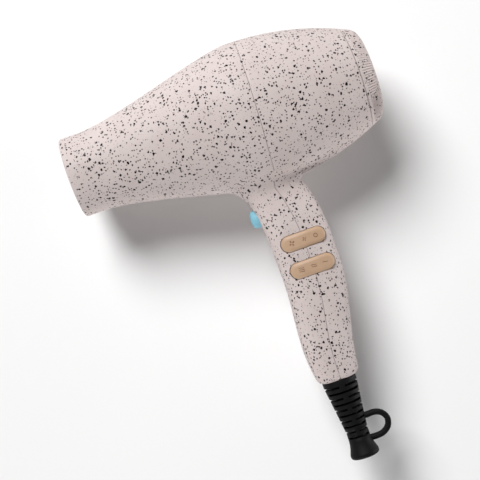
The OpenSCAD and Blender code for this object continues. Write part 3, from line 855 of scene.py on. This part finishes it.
def slotted_plate(mats):
    """The cap's back with its bands of slots, edges slightly rounded."""
    curve = bpy.data.curves.new("filter_cap_plate", "CURVE")
    curve.dimensions = "2D"
    curve.fill_mode = "BOTH"
    soft = 0.25

    def outline(points):
        s = curve.splines.new("POLY")
        s.points.add(len(points) - 1)
        for i, (u, v) in enumerate(points):
            s.points[i].co = (u * MM, v * MM, 0, 1)
        s.use_cyclic_u = True

    outline(arc(0, 0, GRILLE_R + 0.1 - soft, 0, 360, 120)[:-1])
    for r0, r1, count in SLOT_BANDS:
        for i in range(count):
            a = TAU * i / count
            w = SLOT_W / 2 + soft
            c, t = math.cos(a), math.sin(a)
            corners = arc(r0 + w, 0, w, 90, 270, 6) + arc(r1 - w, 0, w, -90, 90, 6)
            outline([(u * c - v * t, u * t + v * c) for u, v in corners])
    curve.extrude = (PLATE_T / 2 - soft) * MM
    curve.bevel_depth = soft * MM
    curve.bevel_resolution = 1
    obj = bpy.data.objects.new("filter_cap_plate_curve", curve)
    bpy.context.collection.objects.link(obj)
    # the outline lies in XY, and is turned to face along X
    graph = bpy.context.evaluated_depsgraph_get()
    mesh = bpy.data.meshes.new_from_object(obj.evaluated_get(graph))
    bpy.data.objects.remove(obj)
    middle = LENGTH - PLATE_T / 2 - 0.15
    mesh.transform(Matrix.Translation((middle * MM, 0, 0)) @ Matrix.Rotation(math.pi / 2, 4, "Y"))
    plate = bpy.data.objects.new("filter_cap_plate", mesh)
    bpy.context.collection.objects.link(plate)
    mesh.materials.clear()
    mesh.materials.append(mats["shell"])
    bm = bmesh.new()
    bm.from_mesh(mesh)
    bmesh.ops.remove_doubles(bm, verts=bm.verts, dist=1e-6)
    bmesh.ops.recalc_face_normals(bm, faces=bm.faces)
    bm.to_mesh(mesh)
    bm.free()
    soften(plate, 50)
    return plate


MESH_X = MESH_BACK - 0.3
MESH_R = MESH_SEAT_R - 0.2
MESH_PITCH = 1.15
MESH_WIRE_R = 0.16


def filter_mesh(mats):
    """Woven wire disc in a thin frame."""
    count = int(2 * MESH_R / MESH_PITCH)
    pts, faces = [], []
    sides = 5
    for direction in (0, 1):
        for i in range(count + 1):
            off = -MESH_R + (i + 0.5) * 2 * MESH_R / (count + 1)
            half = math.sqrt(max(0.0, (MESH_R - 0.4) ** 2 - off ** 2))
            if half < 1:
                continue
            lift = MESH_WIRE_R * (1 if direction else -1) * 0.9
            start = len(pts)
            for s in (-half, half):
                for k in range(sides):
                    a = TAU * k / sides
                    c, t = off + MESH_WIRE_R * math.cos(a), MESH_X + lift + MESH_WIRE_R * math.sin(a)
                    pts.append((t, c, s) if direction else (t, s, c))
            faces += grid_faces(2, sides, start)
            faces += [tuple(range(k, k + sides)) for k in (start, start + sides)]
    wires = new_object("filter_mesh_wires", pts, faces, mats["mesh_steel"])
    recalc(wires)
    inner, front = MESH_FRAME_R + 0.2, MESH_BACK - 0.6
    section = [(inner, front), (MESH_SEAT_R, front), (MESH_SEAT_R, MESH_BACK), (inner, MESH_BACK)]
    frame_ring = lathe_object("filter_mesh_frame", section, 96, mats["mesh_steel"], closed=True)
    obj = join([wires, frame_ring])
    soften(obj, 60)
    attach(obj, "filter_cover")
    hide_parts("filter_mesh")


# ---- controls ----

EDGE_W = 2.4
EDGE_DROP = 1.1
EDGE_SLOPE = 0.3
ICON_DEPTH = 0.25
RING_LINE = 0.42
WAVE_LINE = 0.36
WAVE_H = 0.42
WAVE_PITCH = 1.15
SPEED_MARKS = (("fan", -7.7, 3.9), ("fan", 0.5, 2.9), ("ring", 8.0, 2.7))      # kind, place along X, size
HEAT_MARKS = (("wave3", -7.4, 3.7), ("wave2", 0.7, 3.5), ("wave1", 8.2, 3.3))


def crown(x):
    """Height of a rocker's top over its middle plane."""
    return ROCKER_TOP - CROWN_R + np.sqrt(CROWN_R ** 2 - x ** 2)


def ribbon(points, width):
    """Closed outline round a line of points."""
    p = np.array(points, dtype=float)
    t = np.gradient(p, axis=0)
    t /= np.linalg.norm(t, axis=1)[:, None]
    nrm = np.stack([-t[:, 1], t[:, 0]], axis=1) * width / 2
    left, right = p + nrm, p - nrm
    return [tuple(q) for q in left] + [tuple(q) for q in right[::-1]]


def wave_outline(cx, cy, length):
    """One wave of a heat mark."""
    u = np.linspace(0, 1, 21)
    return ribbon(np.stack([cx + length * (u - 0.5), cy + WAVE_H / 2 * np.sin(u * TAU)], axis=1), WAVE_LINE)


def fan_outlines(cx, cy, r, count=4):
    """Curved petals round a centre."""
    shapes = []
    for i in range(count):
        a = TAU * i / count + 0.4
        petal = []
        for t in np.linspace(0, 1, 13):
            rr = r * (0.3 + 0.7 * math.sin(math.pi * t) ** 0.8)
            aa = a + 0.95 * (t - 0.5)
            petal.append((cx + rr * math.cos(aa), cy + rr * math.sin(aa)))
        shapes.append(petal)
    return shapes


def ring_cutter(name, cx, cy, r, z0, z1, material):
    inner, outer = r - RING_LINE / 2, r + RING_LINE / 2
    section = [(inner, z0), (outer, z0), (outer, z1), (inner, z1)]
    obj = lathe_object(name, section, 32, material, "y", closed=True)
    # turned about Y, then stood up along Z
    obj.data.transform(Matrix.Rotation(math.pi / 2, 4, "X"))
    obj.data.transform(Matrix.Translation((cx * MM, cy * MM, 0)))
    return obj


def mark_cutters(y, icons, ink):
    """Solids that cut a rocker's marks into its top and leave ink on the floors."""
    cutters = []
    for kind, dx, size in icons:
        z0, z1 = float(crown(dx)) - ICON_DEPTH, float(crown(dx)) + 1.0
        outlines = []
        if kind == "fan":
            outlines = fan_outlines(dx, 0, size / 2)
        elif kind == "ring":
            cutters.append(ring_cutter("mark", ROCKER_X + dx, y, size / 2 - 0.2, z0, z1, ink))
        else:
            rows = int(kind[-1])
            outlines = [wave_outline(dx, (i - (rows - 1) / 2) * WAVE_PITCH, size) for i in range(rows)]
        cutters += [prism("mark", outline, z0, z1, (ROCKER_X, y), ink) for outline in outlines]
    return cutters


def rocker(name, node_name, y, body, icons, mats):
    """Crowned pill with softly rounded edges and marks let into its top."""
    half, along = 20, 12
    sides = [(0.35, ROCKER_BOTTOM), (0.0, ROCKER_BOTTOM + 0.35)]
    insets = list(EDGE_W * (1 - np.cos(np.linspace(0, math.pi / 2, 9))))
    insets += [EDGE_W + 0.25, EDGE_W + 0.8, 3.8, 4.5, 5.0]

    def pill(e):
        return stadium(ROCKER_LEN - 2 * e, ROCKER_W - 2 * e, half, along)

    rings = [[(x, v, z) for x, v in pill(e)] for e, z in sides]
    for e in insets:
        out = max(0.0, 1 - e / EDGE_W)
        drop = EDGE_DROP * (1 - math.sqrt(max(0.0, 1 - out * out))) + EDGE_SLOPE * out
        rings.append([(x, v, float(crown(x)) - drop) for x, v in pill(e)])
    m = len(rings[0])
    pts = [(x + ROCKER_X, v + y, z) for ring in rings for x, v, z in ring]
    faces = grid_faces(len(rings), m) + [tuple(range(m))[::-1]]
    # the last ring is a thin bar: its ends are closed by fans of quads across it
    last = (len(rings) - 1) * m
    right = [last + i for i in range(half + 1)]
    top = [last + half + i for i in range(along + 1)]
    left = [last + half + along + i for i in range(half + 1)]
    low = [last + (2 * half + along + i) % m for i in range(along + 1)]
    faces += [(top[i], top[i + 1], low[along - i - 1], low[along - i]) for i in range(along)]
    faces += [tuple(right), tuple(left)]
    obj = new_object(name, pts, faces, mats["tan"])
    obj.data.materials.append(mats["icon"])
    recalc(obj)
    cut(obj, join(mark_cutters(y, icons, mats["icon"])))
    soften(obj, 40)
    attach(obj, body)
    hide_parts(node_name)


def button(mats):
    """Lens-fronted round button with its flange and stem."""
    lens = [(0.0, 97.9), (1.3, 97.93), (2.6, 98.06), (3.7, 98.28), (4.5, 98.62)]
    lens += [(5.1, 99.1), (5.5, 99.75), (5.8, 100.6), (BUTTON_R, 101.6), (BUTTON_R, 107.0)]
    flange = [(5.95, 107.2), (6.7, 107.2), (6.9, 107.4), (6.9, 108.4), (6.7, 108.6)]
    stem = [(2.5, 108.6), (2.5, 111.5), (2.3, 111.7), (0.0, 111.7)]
    centre = (0, -BUTTON_D, 0)
    obj = lathe_object("cool_shot_button_cap", lens + flange + stem, 72, mats["blue"], centre=centre)
    soften(obj, 40)
    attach(obj, "cool_shot_button")
    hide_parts("cool_shot_button")


SPRING_TURNS = 3
SPRING_R = 3.6
SPRING_WIRE_R = 0.35
SPRING_X = (108.6, 115.0)


def button_spring(mats):
    """Coil behind the button."""
    sides, steps = 8, 24 * SPRING_TURNS
    clear = SPRING_WIRE_R + 0.1
    first, last = SPRING_X[0] + clear, SPRING_X[1] - clear
    pts = []
    for i in range(steps + 1):
        a = TAU * SPRING_TURNS * i / steps
        x = first + (last - first) * i / steps
        for k in range(sides):
            b = TAU * k / sides
            r = SPRING_R + SPRING_WIRE_R * math.cos(b)
            pts.append((x + SPRING_WIRE_R * math.sin(b), r * math.cos(a) - BUTTON_D, r * math.sin(a)))
    faces = grid_faces(steps + 1, sides)
    faces += [tuple(range(i * sides, (i + 1) * sides)) for i in (0, steps)]
    obj = new_object("cool_shot_spring_coil", pts, faces, mats["steel"])
    recalc(obj)
    soften(obj, 50)
    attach(obj, "housing")
    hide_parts("cool_shot_spring")
    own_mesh(obj)


# ---- strain relief ----

RELIEF_ROWS = 10
ROW_FIRST = HANDLE_END + 3.6
ROW_PITCH = 3.8
SLOT_H = 1.4
CORE_R = 5.4
SLOT_EDGE = 0.18               # slope of a slot's sides
SLOT_LEAD = 0.15               # from a slot's edge to the plain skin
BRIDGE_Z = 10.0                # half angle of the bridges at +Z and -Z, in slots 0, 2, 4 and so on
BRIDGE_X = 22.0                # the same at +X and -X, in the slots between
BRIDGE_EDGE = 1.2
# distance down from the barrel's axis, and radius
RELIEF_SKIN = (
    (177.5, 10.8), (177.9, 11.1), (180.7, 11.1), (190, 9.9), (200, 8.65), (212.7, 7.15), (217.7, 7.2),
    (221.0, 7.6), (223.7, 8.25), (225.8, 9.0), (227.2, 9.45), (228.2, 9.5), (229.0, 9.3), (229.7, 8.8),
    (230.0, 8.0))
LOOP_PATH = (
    (119.5, -205.3), (126.0, -205.3), (131.6, -205.4), (135.7, -207.4), (138.0, -211.6),
    (136.7, -216.4), (132.8, -219.4), (127.5, -220.2), (120.5, -219.6))
LOOP_HALF_W = 1.9
LOOP_HALF_T = 2.5
LOOP_POWER = 0.62


def relief_angles():
    """Angles of the sleeve's lines in degrees, with more of them at the bridges' edges."""
    angles = {i * 6.0 for i in range(60)}
    for half, middles in ((BRIDGE_Z, (90, 270)), (BRIDGE_X, (0, 180))):
        for s in (half, half + BRIDGE_EDGE):
            for c in middles:
                angles |= {(c + s) % 360, (c - s) % 360}
    return sorted(angles)


def relief_rows():
    """The sleeve's rings: distance down, slot depth from 0 to 1, and the slot's number or -1."""
    rows = []
    sides = ((-SLOT_LEAD, 0), (0, 0.06), (SLOT_EDGE, 1))
    for i in range(RELIEF_ROWS):
        d = ROW_FIRST + ROW_PITCH * i
        rows += [(d + off, depth, i) for off, depth in sides]
        rows += [(d + (SLOT_H - off), depth, i) for off, depth in sides[::-1]]
    plain = [177.5, 177.65, 177.9, 179.4] + list(np.arange(ROW_FIRST + ROW_PITCH * RELIEF_ROWS, 229.9, 1.6))
    plain += [227.2, 228.2, 229.0, 229.5, 229.8, 230.0]
    rows += [(d, 0, -1) for d in plain]
    return sorted(rows, key=lambda row: row[0])


def slot_share(i, a):
    """How open slot i is at an angle: 0 at its bridges, 1 away from them."""
    if i < 0:
        return 0.0
    if i % 2 == 0:
        away = min(abs(a - 90), abs(a - 270)) - BRIDGE_Z
    else:
        away = min(abs(a), abs(a - 180), abs(a - 360)) - BRIDGE_X
    return min(1.0, max(0.0, away / BRIDGE_EDGE))


def strain_relief(mats):
    """Tapered rubber sleeve with rows of slots on alternate sides, and the loop beside it."""
    angles = relief_angles()
    rings = []
    for d, depth, i in relief_rows():
        skin = float(np.interp(d, *zip(*RELIEF_SKIN)))
        rings.append([(skin - (skin - CORE_R) * depth * slot_share(i, a), d) for a in angles])
    # the end with the cord's hole, the bore, and the flange and neck inside the handle
    inside = [(7.4, 230.0), (CORD_R + 0.4, 230.0), (CORD_R, 229.6), (CORD_R, 172.9), (CORD_R, 172.7)]
    inside += [(9.1, 172.7), (9.3, 172.9), (9.3, 175.1), (7.5, 175.1), (7.5, 177.5)]
    rings += [[place] * len(angles) for place in inside]
    pts = []
    for ring in rings:
        for a, (r, d) in zip(angles, ring):
            pts.append((RELIEF_X + r * math.cos(math.radians(a)), -d, r * math.sin(math.radians(a))))
    m = len(angles)
    last = (len(rings) - 1) * m
    faces = grid_faces(len(rings), m) + [(last + j, last + (j + 1) % m, (j + 1) % m, j) for j in range(m)]
    sleeve = new_object("strain_relief_sleeve", pts, faces, mats["rubber"])
    recalc(sleeve)
    soften(sleeve, 35)
    loop = swept_loop(mats)
    obj = join([sleeve, loop])
    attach(obj, "housing")
    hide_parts("strain_relief")


def catmull(points, steps):
    """A smooth line through points, with a number of steps from each to the next."""
    p = [np.array(q, dtype=float) for q in points]
    out = []
    for i in range(len(p) - 1):
        a, b, c, d = p[max(i - 1, 0)], p[i], p[i + 1], p[min(i + 2, len(p) - 1)]
        for k in range(steps):
            t = k / steps
            bend, twist = 2 * a - 5 * b + 4 * c - d, 3 * b - a - 3 * c + d
            out.append(0.5 * (2 * b + (c - a) * t + bend * t * t + twist * t ** 3))
    out.append(p[-1])
    return np.array(out)


def swept_loop(mats):
    """The loop beside the sleeve: a squarish section swept along its path."""
    path = catmull(LOOP_PATH, 8)
    t = np.gradient(path, axis=0)
    t /= np.linalg.norm(t, axis=1)[:, None]
    side = np.stack([-t[:, 1], t[:, 0]], axis=1)
    section = []
    for a in np.arange(20) * TAU / 20:
        u, v = spow(np.cos(a), LOOP_POWER), spow(np.sin(a), LOOP_POWER)
        section.append((LOOP_HALF_W * float(u), LOOP_HALF_T * float(v)))
    pts = []
    for p, s in zip(path, side):
        for u, v in section:
            pts.append((p[0] + s[0] * u, p[1] + s[1] * u, v))
    n = len(section)
    faces = grid_faces(len(path), n)
    faces += [tuple(range(i * n, (i + 1) * n)) for i in (0, len(path) - 1)]
    obj = new_object("strain_relief_loop", pts, faces, mats["rubber"])
    recalc(obj)
    soften(obj, 50)
    return obj


# ---- materials of the CAD nodes that stay ----

NODE_MATERIALS = {
    "steel": ("motor_can", "armature", "motor_shaft", "housing_screws", "clamp_screws", "rocker_pins",
              "heat_shield", "thermostat"),
    "nylon": ("intake_guard", "outlet_ring", "outlet_grille", "fan_impeller", "fan_duct", "motor_end_cap",
              "speed_switch", "heat_switch", "cool_shot_switch", "cord_clamp", "rectifier_diodes"),
    "rubber": ("damper_rings",),
    "mica": ("mica_board_upright", "mica_board_level"),
    "wire": ("main_coil", "booster_coil"),
    "white": ("heater_leads",),
    "red": ("motor_leads",),
    "brown": ("mains_leads",),
    "ivory": ("terminal_block", "thermal_fuse"),
    "gold": ("capacitor",),
    "board": ("circuit_board",),
    "magnet": ("motor_magnets",),
    "bronze": ("motor_bearings",),
    "carbon": ("carbon_brushes",),
    "copper": ("armature_windings", "commutator"),
}


def finish_nodes(mats):
    for key, names in NODE_MATERIALS.items():
        for name in names:
            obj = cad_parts[name]
            if not obj.material_slots:
                obj.data.materials.append(mats[key])
            for s in obj.material_slots:
                s.material = mats[key]


# ---- stage ----

CAMERA_TURN = math.radians(19.6)
CAMERA_AT = (87.3, -73.0)
CAMERA_HEIGHT = 723.0
LENS = 84.7


def area_light(name, place, target, size, watts):
    data = bpy.data.lights.new(name, "AREA")
    data.shape = "DISK"
    data.size = size
    data.energy = watts
    obj = bpy.data.objects.new(name, data)
    obj.location = place
    obj.rotation_euler = (Vector(target) - Vector(place)).to_track_quat("-Z", "Y").to_euler()
    bpy.context.collection.objects.link(obj)


def stage():
    floor_mat, nt, bsdf = shader("floor_paper")
    mm = object_coords(nt, 1000.0)
    grain = noise(nt, mm, 0.8, 3.0)
    paper = mix(nt, grain.outputs["Fac"], (0.93, 0.93, 0.93, 1), (0.95, 0.95, 0.95, 1))
    link(nt, paper, bsdf.inputs["Base Color"])
    bsdf.inputs["Roughness"].default_value = 0.9
    bsdf.inputs["Specular IOR Level"].default_value = 0.1
    size = 4000.0
    z = FLOOR_Z - 0.05
    corners = [(-size, -size, z), (size, -size, z), (size, size, z), (-size, size, z)]
    floor = new_object("floor", corners, [(0, 1, 2, 3)], floor_mat)
    camera = bpy.data.cameras.new("camera")
    camera.sensor_width = 36.0
    camera.lens = LENS
    camera.clip_start = 0.01
    cam = bpy.data.objects.new("camera", camera)
    cam.location = (CAMERA_AT[0] * MM, CAMERA_AT[1] * MM, CAMERA_HEIGHT * MM)
    cam.rotation_euler = (0, 0, -CAMERA_TURN)
    bpy.context.collection.objects.link(cam)
    bpy.context.scene.camera = cam
    world = bpy.data.worlds.new("studio")
    world.use_nodes = True
    background = world.node_tree.nodes["Background"]
    background.inputs["Color"].default_value = (1.0, 1.0, 1.0, 1.0)
    background.inputs["Strength"].default_value = 0.05
    bpy.context.scene.world = world
    centre = (0.1, -0.07, 0.0)
    area_light("key", (centre[0] - 0.5, centre[1] + 1.54, 1.8), centre, 1.3, 71.0)
    area_light("fill_below", (centre[0] - 0.35, centre[1] - 1.2, 0.1), centre, 0.4, 10.0)
    area_light("fill_behind", (centre[0] + 1.2, centre[1] - 0.3, 0.1), centre, 0.4, 7.0)
    bpy.context.scene.view_settings.view_transform = "Standard"


def main():
    mats = all_materials()
    front_housing(mats)
    rear_housing(mats)
    filter_cap(mats)
    filter_mesh(mats)
    rocker("speed_rocker_cap", "speed_rocker", ROCKER_YS[0], "speed_rocker", SPEED_MARKS, mats)
    rocker("heat_rocker_cap", "heat_rocker", ROCKER_YS[1], "heat_rocker", HEAT_MARKS, mats)
    button(mats)
    button_spring(mats)
    strain_relief(mats)
    finish_nodes(mats)
    stage()


main()
